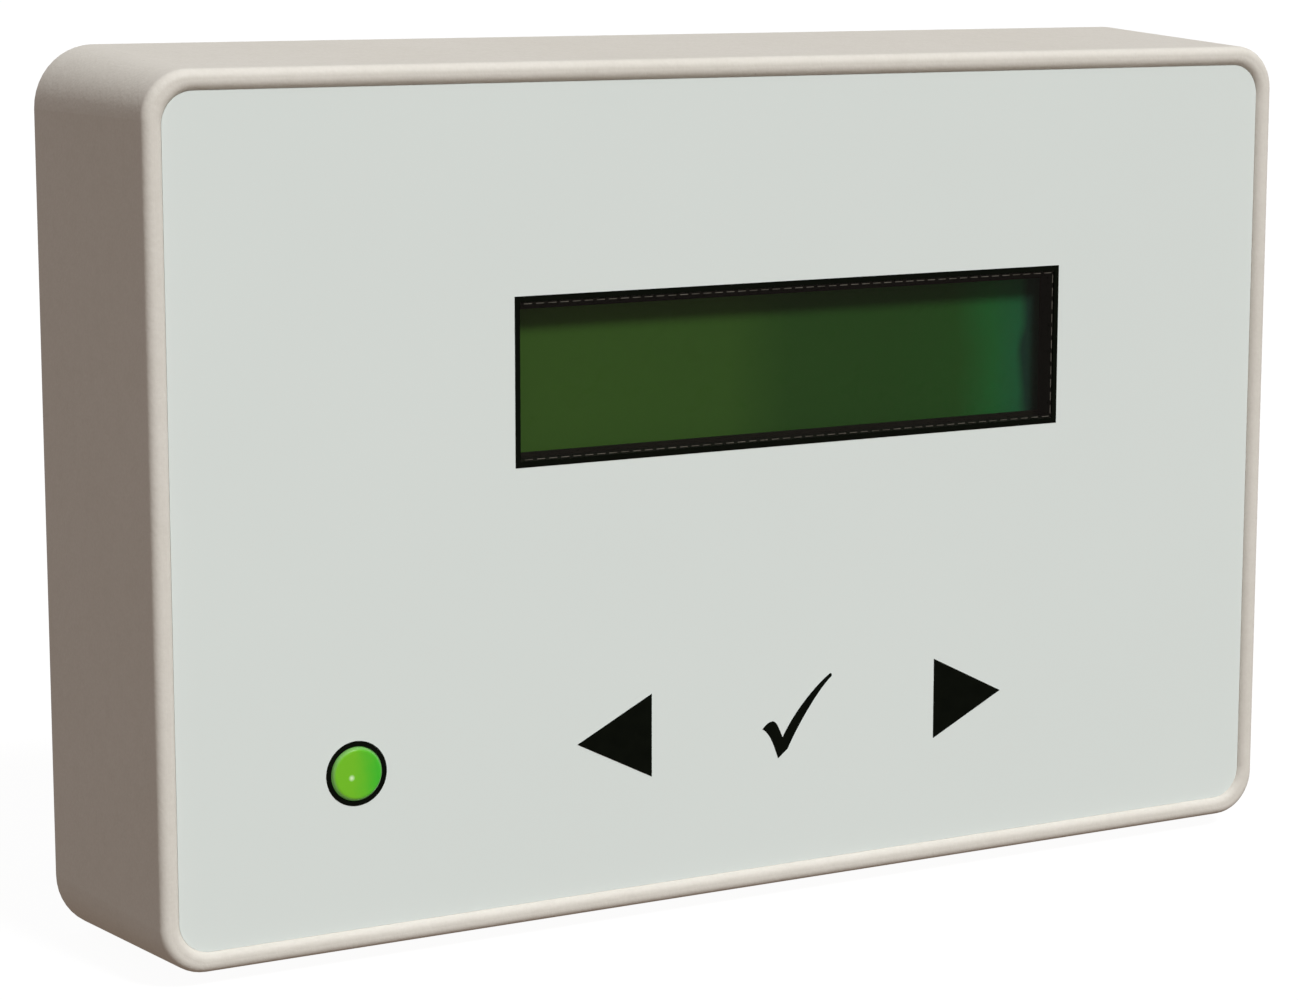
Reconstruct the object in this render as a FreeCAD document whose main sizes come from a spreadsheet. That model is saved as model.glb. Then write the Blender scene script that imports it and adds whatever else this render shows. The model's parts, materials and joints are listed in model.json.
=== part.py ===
"""Contactless time and attendance terminal: case, label keys, display module, boards and wall plate.

Millimetres, +Z up. The origin is the centre of the rear face, which lies on the wall. The front looks
along -Y, so a depth is the distance in front of the wall: the plane of depth d is y = -d.
"""
import FreeCAD, Part
import os
import re
import Sketcher

os.makedirs("parts", exist_ok=True)
doc = FreeCAD.newDocument("attendance_terminal")
sheet = doc.addObject("Spreadsheet::Sheet", "Sizes")

DRIVING_SIZES = {
    # case
    "case_width": 132.2, "case_height": 86.3, "case_depth": 25.0, "draft_angle": 3.6,
    "corner_radius": 4.6, "side_wall": 2.2, "front_wall": 2.0, "rim_height": 0.5,
    "rim_outer_round": 0.9, "rim_inner_round": 0.97,
    # front label
    "label_width": 128.0, "label_height": 82.0, "label_radius": 3.0, "label_thickness": 0.5,
    "label_gap": 0.1, "window_width": 64.5, "window_height": 15.9, "window_thickness": 0.4,
    "window_gap": 0.02, "window_sink": 0.05, "aperture_margin": 1.2, "aperture_radius": 0.8,
    # keys
    "key_pitch": 21.65, "key_row": -25.5, "key_radius": 6.4, "key_film_gap": 0.15, "key_hole_radius": 7.6,
    "key_flange_radius": 8.4, "key_flange_thickness": 1.0, "key_flange_gap": 0.3, "key_post_radius": 2.2,
    "key_travel": 0.4, "switch_side": 6.0, "switch_body": 3.5, "switch_height": 8.0, "stem_radius": 1.75,
    "stem_gap": 0.08, "switch_floor": 0.9, "stem_foot_gap": 0.1,
    # status light
    "light_across": -45.4, "lens_radius": 2.65, "lens_hole_radius": 2.75, "lens_dome": 0.4,
    "lens_flange_radius": 4.0, "lens_flange": 1.1, "lens_gap": 0.1, "light_radius": 2.5,
    "light_length": 8.6, "light_collar": 0.4, "light_collar_thickness": 1.0,
    # display module
    "display_across": 5.1, "display_up": 11.8, "bezel_width": 71.2, "bezel_height": 25.2,
    "bezel_depth": 6.0, "bezel_steel": 0.4, "bezel_gap": 0.1, "bezel_window_width": 68.0,
    "bezel_window_height": 14.4, "bezel_window_drop": 0.25,
    "module_width": 80.0, "module_height": 36.0, "module_hole_x": 75.0, "module_hole_z": 31.0,
    "cell_width": 69.0, "cell_height": 23.6, "cell_thickness": 2.6, "guide_height": 17.8,
    "rubber_width": 2.2, "header_height": 2.5, "header_pins": 16.0, "header_pitch": 2.54,
    "pin_side": 0.64, "pin_hole_radius": 0.5, "header_offset": 8.0, "pin_front_end": 1.0,
    "pin_back_end": 1.4, "dome_radius": 6.5, "dome_height": 1.3, "dome_round": 1.1, "dome_across": 17.0,
    # main board
    "board_thickness": 1.6, "board_width": 124.0, "board_height": 74.0, "board_hole_x": 117.0,
    "board_hole_z": 67.0, "standoff_radius": 3.0, "module_standoff_radius": 2.5,
    # parts on the main board
    "chip_lift": 0.1, "chip_thickness": 1.3, "lead_thickness": 0.4, "lead_reach": 1.0,
    "lead_share": 0.35,
    "controller_across": -12.0, "controller_side": 10.0, "controller_pitch": 0.8,
    "memory_across": 8.0, "memory_width": 5.0, "small_chip_height": 4.0, "small_chip_pitch": 1.27,
    "reader_across": -46.0, "reader_width": 10.0, "chip_row": 14.0,
    "crystal_across": -28.0, "crystal_width": 11.0, "crystal_height": 4.7, "crystal_thickness": 3.5,
    "regulator_across": 40.0, "regulator_up": 20.0, "regulator_width": 6.5, "regulator_height": 6.0,
    "regulator_thickness": 2.3, "regulator_tab": 2.6, "regulator_leg": 3.0, "regulator_leg_width": 0.8,
    "can_radius": 3.15, "can_base": 6.6, "can_base_thickness": 0.8, "can_height": 5.4, "can_round": 0.5,
    "can_right": -35.0, "can_left": -53.5, "can_low": -23.0, "can_high": -15.0,
    "resistor_width": 1.6, "resistor_height": 0.8, "resistor_thickness": 0.5, "resistor_pitch": 2.4,
    "buzzer_across": 53.0, "buzzer_up": 6.0, "buzzer_radius": 5.5, "buzzer_height": 7.5,
    "buzzer_hole_radius": 1.2, "buzzer_hole_deep": 1.5,
    "cell_across": 42.0, "cell_up": -20.0, "coin_radius": 10.0, "coin_thickness": 3.2,
    "holder_radius": 11.4, "holder_floor": 0.9, "holder_height": 4.6, "holder_gap": 0.15,
    "holder_notch": 9.0, "holder_notch_drop": 11.0,
    "terminal_pitch": 3.5, "terminal_ways": 6.0, "terminal_up": -4.0, "terminal_depth": 8.0,
    "terminal_height": 7.3, "terminal_well_radius": 1.45, "terminal_well": 2.3, "terminal_well_up": -5.0,
    "terminal_mouth": 2.2, "terminal_mouth_rise": 3.2, "terminal_mouth_deep": 4.4,
    "terminal_screw_radius": 1.35, "terminal_screw": 1.6, "terminal_slot": 0.5, "terminal_slot_deep": 0.6,
    # screws
    "screw_radius": 1.45, "pilot_radius": 1.5, "screw_clearance_radius": 1.6, "screw_head_radius": 2.75,
    "screw_head": 1.8, "screw_head_round": 1.1, "screw_slot": 0.7, "screw_cross": 2.8,
    "screw_cross_deep": 1.0,
    "screw_bite": 6.4, "pilot_spare": 1.0,
    # badge reader coil
    "coil_across": -49.0, "coil_up": 7.0, "coil_width": 24.4, "coil_height": 44.4, "coil_rim": 0.8,
    "coil_thickness": 2.0, "coil_winding": 3.0, "coil_radius": 6.0, "bobbin_wall": 1.0, "bobbin_gap": 0.3,
    "bobbin_lip": 0.4, "winding_gap": 0.1, "coil_pin_spread": 5.0, "coil_pin_radius": 0.35,
    "coil_pin_end": 1.0,
    # wall plate
    "plate_thickness": 2.5, "plate_gap": 0.3, "wall_hole_pitch": 60.3, "wall_hole_radius": 2.25,
    "wall_hole_recess_radius": 4.6, "wall_hole_recess": 0.9, "entry_width": 26.0, "entry_height": 16.0,
    "entry_up": -20.0, "entry_radius": 4.0, "grommet_wall": 1.8, "grommet_flange": 1.2,
    "hook_across": 40.0, "hook_width": 8.0, "hook_base": 38.0, "hook_arm": 1.6, "hook_tip": 3.6,
    "hook_reach": 8.0, "hook_gap": 0.4, "catch_front": 5.2, "catch_back": 3.2, "catch_bottom": 40.2,
    "lock_across": 40.0, "lock_depth": 6.0, "lock_tab_bottom": -40.6, "lock_tab_top": -34.0,
    "lock_tab_side": 7.0, "lock_boss_top": -40.9, "lock_seat": -42.3, "lock_boss_margin": 2.0,
    "lock_well_gap": 0.25, "lock_tip_gap": 1.5, "grommet_gap": 0.01, "grommet_lip": 1.5,
}

for row, (alias, number) in enumerate(DRIVING_SIZES.items(), start=1):
    sheet.set(f"A{row}", alias)
    sheet.set(f"B{row}", str(number))
    sheet.setAlias(f"B{row}", alias)
doc.recompute()

# planes in the stack, as depths in front of the wall
LABEL_FACE = "(case_depth - rim_height)"
LABEL_BACK = f"({LABEL_FACE} - label_thickness)"
INNER_FACE = f"({LABEL_BACK} - front_wall)"
BEZEL_FACE = f"({INNER_FACE} - bezel_gap)"
MODULE_FRONT = f"({BEZEL_FACE} - bezel_depth)"
MODULE_BACK = f"({MODULE_FRONT} - board_thickness)"
BOARD_FRONT = f"({MODULE_BACK} - header_height)"
BOARD_BACK = f"({BOARD_FRONT} - board_thickness)"
CELL_FACE = f"({BEZEL_FACE} - bezel_steel)"
CELL_BACK = f"({CELL_FACE} - cell_thickness)"
FLANGE_FRONT = f"({INNER_FACE} - key_flange_gap)"
FLANGE_BACK = f"({FLANGE_FRONT} - key_flange_thickness)"
STEM_TIP = f"({BOARD_FRONT} + switch_height)"
COIL_FRONT = f"({INNER_FACE} - bobbin_gap - coil_rim)"
DRAFT_OFFSET = "case_depth * tan(draft_angle)"
HEADER_UP = "display_up + module_hole_z / 2"
HEADER_START = "display_across - module_width / 2 + header_offset"

KEYS = {"left": "display_across - key_pitch", "ok": "display_across", "right": "display_across + key_pitch"}
SIGNS = (-1, 1)


def bound(expression):
    """The expression with each size written as a cell of the sheet."""
    return re.sub(r"\b[a-z]+(?:_[a-z]+)+\b", lambda word: f"Sizes.{word.group(0)}", str(expression))


def value(expression):
    """The number that an expression of the sheet's sizes comes to."""
    return float(sheet.evalExpression(bound(expression)))


def new_body(name):
    body = doc.addObject("PartDesign::Body", name)
    body.Label = name
    body.AllowCompound = True
    return body


def new_sketch(body, plane, offset):
    """A sketch on one of the body's own origin planes, moved along the plane's normal."""
    sketch = body.newObject("Sketcher::SketchObject", f"{body.Name}_sketch")
    support = next(item for item in body.Origin.OriginFeatures if item.Role == plane)
    sketch.AttachmentSupport = [(support, "")]
    sketch.MapMode = "FlatFace"
    sketch.setExpression("AttachmentOffset.Base.z", bound(offset))
    return sketch


def constrain(sketch, kind, *references, size):
    """One dimensional constraint, bound to the sheet."""
    index = sketch.addConstraint(Sketcher.Constraint(kind, *references, value(size)))
    sketch.setExpression(f"Constraints[{index}]", bound(size))


def draw_circle(sketch, across, up, radius):
    centre = FreeCAD.Vector(value(across), value(up), 0)
    circle = sketch.addGeometry(Part.Circle(centre, FreeCAD.Vector(0, 0, 1), value(radius)), False)
    constrain(sketch, "Radius", circle, size=radius)
    constrain(sketch, "DistanceX", -1, 1, circle, 3, size=across)
    constrain(sketch, "DistanceY", -1, 1, circle, 3, size=up)


def draw_lines(sketch, corners):
    """Straight lines between the pairs of points given; returns the index of the first."""
    lines = [Part.LineSegment(FreeCAD.Vector(*start, 0), FreeCAD.Vector(*end, 0)) for start, end in corners]
    return sketch.addGeometry(lines, False)[0]


def draw_rectangle(sketch, across, up, width, height):
    left, low = value(f"{across} - ({width}) / 2"), value(f"{up} - ({height}) / 2")
    right, high = left + value(width), low + value(height)
    points = [(left, low), (right, low), (right, high), (left, high)]
    first = draw_lines(sketch, [(points[i], points[(i + 1) % 4]) for i in range(4)])
    for i in range(4):
        sketch.addConstraint(Sketcher.Constraint("Coincident", first + i, 2, first + (i + 1) % 4, 1))
    for i in range(4):
        sketch.addConstraint(Sketcher.Constraint("Horizontal" if i % 2 == 0 else "Vertical", first + i))
    constrain(sketch, "DistanceX", first, 1, first, 2, size=width)
    constrain(sketch, "DistanceY", first + 1, 1, first + 1, 2, size=height)
    constrain(sketch, "DistanceX", -1, 1, first, 1, size=f"{across} - ({width}) / 2")
    constrain(sketch, "DistanceY", -1, 1, first, 1, size=f"{up} - ({height}) / 2")


def draw_rounded(sketch, across, up, width, height, radius):
    """Rectangle with round corners: lines 0 to 3 anticlockwise from the bottom, then the four arcs."""
    bend = value(radius)
    left, low = value(f"{across} - ({width}) / 2"), value(f"{up} - ({height}) / 2")
    right, high = left + value(width), low + value(height)
    sides = [((left + bend, low), (right - bend, low)), ((right, low + bend), (right, high - bend)),
             ((right - bend, high), (left + bend, high)), ((left, high - bend), (left, low + bend))]
    centres = [(right - bend, low + bend), (right - bend, high - bend),
               (left + bend, high - bend), (left + bend, low + bend)]
    first = draw_lines(sketch, sides)
    quarter = 1.5707963267948966
    for i, (x, z) in enumerate(centres):
        circle = Part.Circle(FreeCAD.Vector(x, z, 0), FreeCAD.Vector(0, 0, 1), bend)
        sketch.addGeometry(Part.ArcOfCircle(circle, (i - 1) * quarter, i * quarter), False)
    for i in range(4):
        arc = first + 4 + i
        sketch.addConstraint(Sketcher.Constraint("Tangent", first + i, 2, arc, 1))
        sketch.addConstraint(Sketcher.Constraint("Tangent", arc, 2, first + (i + 1) % 4, 1))
        sketch.addConstraint(Sketcher.Constraint("Horizontal" if i % 2 == 0 else "Vertical", first + i))
    for i in range(1, 4):
        sketch.addConstraint(Sketcher.Constraint("Equal", first + 4, first + 4 + i))
    constrain(sketch, "Radius", first + 4, size=radius)
    constrain(sketch, "DistanceX", first + 3, 1, first + 1, 1, size=width)
    constrain(sketch, "DistanceY", first, 1, first + 2, 1, size=height)
    constrain(sketch, "DistanceX", -1, 1, first + 3, 1, size=f"{across} - ({width}) / 2")
    constrain(sketch, "DistanceY", -1, 1, first, 1, size=f"{up} - ({height}) / 2")


DRAW = {"circle": draw_circle, "rectangle": draw_rectangle, "rounded": draw_rounded}


def profile(body, plane, offset, shapes):
    sketch = new_sketch(body, plane, offset)
    for shape, *sizes in shapes:
        DRAW[shape](sketch, *sizes)
    return sketch


def add(body, back, front, shapes, taper="0"):
    """Pad the shapes from the back depth to the front depth."""
    pad = body.newObject("PartDesign::Pad", f"{body.Name}_pad")
    pad.Profile = profile(body, "XZ_Plane", back, shapes)
    pad.setExpression("Length", bound(f"{front} - ({back})"))
    pad.setExpression("TaperAngle", bound(taper))
    return pad


def cut(body, front, back, shapes, taper="0"):
    """Pocket the shapes from the front depth to the back depth."""
    pocket = body.newObject("PartDesign::Pocket", f"{body.Name}_pocket")
    pocket.Profile = profile(body, "XZ_Plane", front, shapes)
    pocket.setExpression("Length", bound(f"{front} - ({back})"))
    pocket.setExpression("TaperAngle", bound(taper))
    return pocket


def cut_down(body, top, bottom, shapes):
    """Pocket shapes given by X and Y from the top height to the bottom height."""
    pocket = body.newObject("PartDesign::Pocket", f"{body.Name}_pocket")
    pocket.Profile = profile(body, "XY_Plane", top, shapes)
    pocket.setExpression("Length", bound(f"{top} - ({bottom})"))
    return pocket


def add_up(body, bottom, top, shapes):
    """Pad shapes given by X and Y from the bottom height to the top height."""
    pad = body.newObject("PartDesign::Pad", f"{body.Name}_pad")
    pad.Profile = profile(body, "XY_Plane", bottom, shapes)
    pad.setExpression("Length", bound(f"{top} - ({bottom})"))
    return pad


def round_edges(body, radius, chosen):
    """Fillet the edges of the body's tip for which chosen(edge) is true."""
    doc.recompute()
    tip = body.Tip
    names = [f"Edge{i}" for i, edge in enumerate(tip.Shape.Edges, start=1) if chosen(edge)]
    fillet = body.newObject("PartDesign::Fillet", f"{body.Name}_fillet")
    fillet.Base = (tip, names)
    fillet.setExpression("Radius", bound(radius))
    return fillet


def lies_at_depth(edge, depth, tolerance=0.01):
    box = edge.BoundBox
    return abs(box.YMin + depth) < tolerance and abs(box.YMax + depth) < tolerance


def corners(shape, across, up, pitch_x, pitch_z, *sizes):
    """Four equal shapes at the corners of a rectangle."""
    return [(shape, f"{across} + ({sx}) * {pitch_x} / 2", f"{up} + ({sz}) * {pitch_z} / 2", *sizes)
            for sx in SIGNS for sz in SIGNS]


def pair(shape, across, up, *sizes):
    """Two equal shapes, one each side of the middle."""
    return [(shape, f"({sign}) * {across}", up, *sizes) for sign in SIGNS]


def module_corners(radius):
    return corners("circle", "display_across", "display_up", "module_hole_x", "module_hole_z", radius)


def board_corners(radius):
    return corners("circle", "0", "0", "board_hole_x", "board_hole_z", radius)


def header_positions():
    return [f"{HEADER_START} + {pin} * header_pitch" for pin in range(int(value("header_pins")))]


# ---------------------------------------------------------------- case and label

def front_case():
    """Tapered five-sided shell with a bead round the sunk label, and bosses for all it carries."""
    body = new_body("front_case")
    add(body, "0", "case_depth", [("rounded", "0", "0", f"case_width + 2 * {DRAFT_OFFSET}",
        f"case_height + 2 * {DRAFT_OFFSET}", f"corner_radius + {DRAFT_OFFSET}")], taper="-draft_angle")
    front_edge = value("case_depth")
    round_edges(body, "rim_outer_round", lambda edge: lies_at_depth(edge, front_edge))
    cavity_inset = f"2 * (case_depth - {INNER_FACE}) * tan(draft_angle) - 2 * side_wall"
    cut(body, INNER_FACE, "0", [("rounded", "0", "0", f"case_width + {cavity_inset}",
        f"case_height + {cavity_inset}", "corner_radius - side_wall")], taper="draft_angle")
    cut(body, "case_depth", LABEL_BACK, [("rounded", "0", "0", "label_width + 2 * label_gap",
        "label_height + 2 * label_gap", "label_radius + label_gap")])
    half_label = value("label_width / 2 + label_gap")
    round_edges(body, "rim_inner_round", lambda edge: lies_at_depth(edge, front_edge)
                and max(abs(edge.BoundBox.XMin), abs(edge.BoundBox.XMax)) < half_label + 0.01)
    cut(body, LABEL_BACK, INNER_FACE, [
        ("rounded", "display_across", "display_up", "window_width + 2 * aperture_margin",
         "window_height + 2 * aperture_margin", "aperture_radius"),
        ("circle", "light_across", "key_row", "lens_hole_radius"),
        *[("circle", across, "key_row", "key_hole_radius") for across in KEYS.values()]])
    add(body, MODULE_FRONT, INNER_FACE, module_corners("module_standoff_radius"))
    add(body, BOARD_FRONT, INNER_FACE, board_corners("standoff_radius"))
    screw_reach = "screw_bite + pilot_spare - board_thickness"
    cut(body, f"{MODULE_FRONT} + {screw_reach}", MODULE_FRONT, module_corners("pilot_radius"))
    cut(body, f"{BOARD_FRONT} + {screw_reach}", BOARD_FRONT, board_corners("pilot_radius"))
    catch_height = "case_height / 2 - catch_bottom"
    add(body, "catch_back", "catch_front", pair("rectangle", "hook_across",
        f"catch_bottom + ({catch_height}) / 2", "hook_width + 2", catch_height))
    add_up(body, "-case_height / 2", "lock_boss_top", pair("rectangle", "lock_across", "-lock_depth",
           "lock_tab_side + lock_boss_margin", "lock_tab_side"))
    underside = f"-case_height / 2 - {DRAFT_OFFSET}"
    cut_down(body, "lock_boss_top", underside,
             pair("circle", "lock_across", "-lock_depth", "screw_clearance_radius"))
    cut_down(body, "lock_seat", underside,
             pair("circle", "lock_across", "-lock_depth", "screw_head_radius + lock_well_gap"))


def graphic_overlay():
    """Polyester label, open at the window, over the light's lens and where the keys flex."""
    body = new_body("graphic_overlay")
    add(body, LABEL_BACK, LABEL_FACE, [("rounded", "0", "0", "label_width", "label_height",
                                        "label_radius")])
    cut(body, LABEL_FACE, LABEL_BACK, [
        ("rectangle", "display_across", "display_up", "window_width", "window_height"),
        ("circle", "light_across", "key_row", "lens_hole_radius"),
        *[("circle", across, "key_row", "key_radius + key_film_gap") for across in KEYS.values()]])


def display_window():
    """Clear film set in the label's window."""
    body = new_body("display_window")
    front = f"{LABEL_FACE} - window_sink"
    add(body, f"{front} - window_thickness", front, [("rectangle", "display_across", "display_up",
        "window_width - 2 * window_gap", "window_height - 2 * window_gap")])


def status_lens():
    """Low domed light pipe, held behind the front wall by its flange."""
    body = new_body("status_lens")
    flange_front = f"{INNER_FACE} - lens_gap"
    spot = ("light_across", "key_row")
    add(body, f"{flange_front} - lens_flange", flange_front, [("circle", *spot, "lens_flange_radius")])
    add(body, flange_front, f"{LABEL_FACE} + lens_dome", [("circle", *spot, "lens_radius")])
    tip = value(f"{LABEL_FACE} + lens_dome")
    round_edges(body, "lens_dome", lambda edge: lies_at_depth(edge, tip))


# ---------------------------------------------------------------- keys

def key_film(name, across):
    """Round part of the label that flexes in over one key."""
    add(new_body(f"{name}_key_film"), LABEL_BACK, LABEL_FACE, [("circle", across, "key_row", "key_radius")])


def key_plunger(name, across):
    """Moulded pusher between the label and the switch, kept in by its flange."""
    body = new_body(f"{name}_key_plunger")
    add(body, FLANGE_FRONT, LABEL_BACK, [("circle", across, "key_row", "key_radius")])
    add(body, FLANGE_BACK, FLANGE_FRONT, [("circle", across, "key_row", "key_flange_radius")])
    add(body, STEM_TIP, FLANGE_BACK, [("circle", across, "key_row", "key_post_radius")])


def key_switch(name, across):
    """Tactile switch body with the well that its stem slides in."""
    body = new_body(f"{name}_switch")
    front = f"{BOARD_FRONT} + switch_body"
    add(body, BOARD_FRONT, front, [("rounded", across, "key_row", "switch_side", "switch_side", "0.4")])
    cut(body, front, f"{BOARD_FRONT} + switch_floor",
        [("circle", across, "key_row", "stem_radius + stem_gap")])


def key_stem(name, across):
    """The switch's own button."""
    body = new_body(f"{name}_switch_stem")
    add(body, f"{BOARD_FRONT} + switch_floor + key_travel + stem_foot_gap", STEM_TIP,
        [("circle", across, "key_row", "stem_radius")])


# ---------------------------------------------------------------- display module

def lcd_bezel():
    """Folded black steel frame with the viewing window."""
    body = new_body("lcd_bezel")
    middle = ("display_across", "display_up")
    add(body, MODULE_FRONT, BEZEL_FACE, [("rounded", *middle, "bezel_width", "bezel_height", "0.9")])
    cut(body, CELL_FACE, MODULE_FRONT, [("rounded", *middle, "bezel_width - 2 * bezel_steel",
                                         "bezel_height - 2 * bezel_steel", "0.5")])
    cut(body, BEZEL_FACE, CELL_FACE, [("rounded", "display_across", "display_up - bezel_window_drop",
                                       "bezel_window_width", "bezel_window_height", "0.5")])


def lcd_glass():
    """Liquid crystal cell with its polarisers."""
    add(new_body("lcd_glass"), CELL_BACK, CELL_FACE,
        [("rectangle", "display_across", "display_up", "cell_width", "cell_height")])


def lcd_light_guide():
    """Clear block behind the cell that spreads the light."""
    add(new_body("lcd_light_guide"), f"{MODULE_FRONT} + 0.05", CELL_BACK,
        [("rectangle", "display_across", "display_up", "cell_width - 2", "guide_height")])


def lcd_rubber_connectors():
    """Two striped rubber strips that carry the contacts from the board to the cell."""
    rise = "(guide_height / 2 + rubber_width / 2 + 0.2)"
    add(new_body("lcd_rubber_connectors"), MODULE_FRONT, CELL_BACK,
        [("rectangle", "display_across", f"display_up + ({sign}) * {rise}", "cell_width - 4",
          "rubber_width") for sign in SIGNS])


def lcd_board():
    """Display's own circuit board."""
    body = new_body("lcd_board")
    add(body, MODULE_BACK, MODULE_FRONT,
        [("rectangle", "display_across", "display_up", "module_width", "module_height")])
    cut(body, MODULE_FRONT, MODULE_BACK, module_corners("screw_clearance_radius") +
        [("circle", across, HEADER_UP, "pin_hole_radius") for across in header_positions()])


def lcd_driver_domes():
    """Resin drops over the two driver chips."""
    body = new_body("lcd_driver_domes")
    back = f"{MODULE_BACK} - dome_height"
    add(body, back, MODULE_BACK, [("circle", f"display_across + ({sign}) * dome_across", "display_up",
                                   "dome_radius") for sign in SIGNS])
    depth = value(back)
    round_edges(body, "dome_round", lambda edge: lies_at_depth(edge, depth))


def lcd_header_strip():
    """Plastic strip that spaces the two boards."""
    last = "(header_pins - 1) * header_pitch"
    body = new_body("lcd_header_strip")
    add(body, BOARD_FRONT, MODULE_BACK, [("rectangle", f"{HEADER_START} + {last} / 2", HEADER_UP,
                                          f"{last} + header_pitch", "header_pitch")])
    cut(body, MODULE_BACK, BOARD_FRONT,
        [("rectangle", across, HEADER_UP, "pin_side", "pin_side") for across in header_positions()])


def lcd_header_pins():
    """Square pins through the strip and both boards."""
    add(new_body("lcd_header_pins"), f"{BOARD_BACK} - pin_back_end", f"{MODULE_FRONT} + pin_front_end",
        [("rectangle", across, HEADER_UP, "pin_side", "pin_side") for across in header_positions()])


# ---------------------------------------------------------------- main board and what it carries

def main_board():
    """Processor board, screwed to the case's four long bosses."""
    body = new_body("main_board")
    add(body, BOARD_BACK, BOARD_FRONT, [("rounded", "0", "0", "board_width", "board_height", "2")])
    cut(body, BOARD_FRONT, BOARD_BACK, board_corners("screw_clearance_radius") +
        [("circle", across, HEADER_UP, "pin_hole_radius") for across in header_positions()] +
        antenna_pin_spots("circle", "pin_hole_radius"))


def chip(name, side, across, width, height, pitch, legs_across, legs_up):
    """Chip on the board's front (side 1) or back (side -1), with rows of flat legs."""
    body = new_body(name)
    seat = BOARD_FRONT if side > 0 else BOARD_BACK

    def layer(low, high, shapes):
        near, far = f"{seat} + ({side}) * ({low})", f"{seat} + ({side}) * ({high})"
        add(body, *((near, far) if side > 0 else (far, near)), shapes)

    layer("chip_lift", "chip_lift + chip_thickness", [("rectangle", across, "chip_row", width, height)])
    leg_width = f"{pitch} * lead_share"
    steps_across = [i - (legs_across - 1) / 2 for i in range(legs_across)]
    layer("0", "lead_thickness", [("rectangle", f"{across} + ({i}) * {pitch}", "chip_row", leg_width,
                                   f"{height} + 2 * lead_reach") for i in steps_across])
    steps_up = [i - (legs_up - 1) / 2 for i in range(legs_up)]
    if steps_up:
        layer("0", "lead_thickness", [("rectangle", across, f"chip_row + ({i}) * {pitch}",
                                       f"{width} + 2 * lead_reach", leg_width) for i in steps_up])


def chips():
    chip("controller_chip", -1, "controller_across", "controller_side", "controller_side",
         "controller_pitch", 11, 11)
    chip("memory_chip", -1, "memory_across", "memory_width", "small_chip_height", "small_chip_pitch", 4, 0)
    chip("reader_chip", 1, "reader_across", "reader_width", "small_chip_height", "small_chip_pitch", 7, 0)


def crystal():
    """Oval metal can of the processor's clock crystal."""
    add(new_body("crystal"), f"{BOARD_BACK} - crystal_thickness", BOARD_BACK, [("rounded", "crystal_across",
        "chip_row", "crystal_width", "crystal_height", "crystal_height / 2 - 0.05")])


def regulator():
    """Power regulator with its solder tab above and two legs below."""
    body = new_body("regulator")
    foot = f"{BOARD_BACK} - chip_lift"
    add(body, f"{foot} - regulator_thickness", foot,
        [("rectangle", "regulator_across", "regulator_up", "regulator_width", "regulator_height")])
    tab_up = "regulator_up + regulator_height / 2 + regulator_tab / 4"
    leg_up = "regulator_up - regulator_height / 2 - regulator_leg / 4"
    add(body, f"{BOARD_BACK} - lead_thickness", BOARD_BACK,
        [("rectangle", "regulator_across", tab_up, "regulator_width - 1", "regulator_tab")] +
        [("rectangle", f"regulator_across + ({sign}) * regulator_width / 3", leg_up, "regulator_leg_width",
          "regulator_leg") for sign in SIGNS])


def smoothing_capacitors():
    """Three aluminium can capacitors on square feet."""
    body = new_body("smoothing_capacitors")
    spots = [("can_left", "can_low"), ("can_right", "can_high"), ("can_right", "can_low")]
    foot = f"{BOARD_FRONT} + can_base_thickness"
    tip = f"{BOARD_FRONT} + can_height"
    add(body, BOARD_FRONT, foot, [("rectangle", *spot, "can_base", "can_base") for spot in spots])
    add(body, foot, tip, [("circle", *spot, "can_radius") for spot in spots])
    tip_depth = value(tip)
    round_edges(body, "can_round", lambda edge: lies_at_depth(edge, tip_depth))


def chip_resistors():
    """Small resistors: two rows under the processor and a column beside the reader chip."""
    body = new_body("chip_resistors")
    size = ("resistor_width", "resistor_height")
    rows = [("rectangle", f"controller_across + ({i - 2.5}) * resistor_pitch",
             f"chip_row - controller_side + ({row}) * resistor_pitch", *size)
            for i in range(6) for row in SIGNS]
    column = [("rectangle", "reader_across - reader_width", f"chip_row + ({i - 2}) * resistor_pitch", *size)
              for i in range(5)]
    add(body, f"{BOARD_BACK} - resistor_thickness", BOARD_BACK, rows)
    add(body, BOARD_FRONT, f"{BOARD_FRONT} + resistor_thickness", column)


def status_light():
    """Five millimetre light emitting diode behind the lens."""
    body = new_body("status_light")
    spot = ("light_across", "key_row")
    collar = f"{BOARD_FRONT} + light_collar_thickness"
    tip = f"{BOARD_FRONT} + light_length"
    add(body, BOARD_FRONT, collar, [("circle", *spot, "light_radius + light_collar")])
    add(body, collar, tip, [("circle", *spot, "light_radius")])
    tip_depth = value(tip)
    round_edges(body, "light_radius * 0.99", lambda edge: lies_at_depth(edge, tip_depth))


def buzzer():
    """Round beeper with its sound hole."""
    body = new_body("buzzer")
    spot = ("buzzer_across", "buzzer_up")
    front = f"{BOARD_FRONT} + buzzer_height"
    add(body, BOARD_FRONT, front, [("circle", *spot, "buzzer_radius")])
    cut(body, front, f"{front} - buzzer_hole_deep", [("circle", *spot, "buzzer_hole_radius")])


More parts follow.
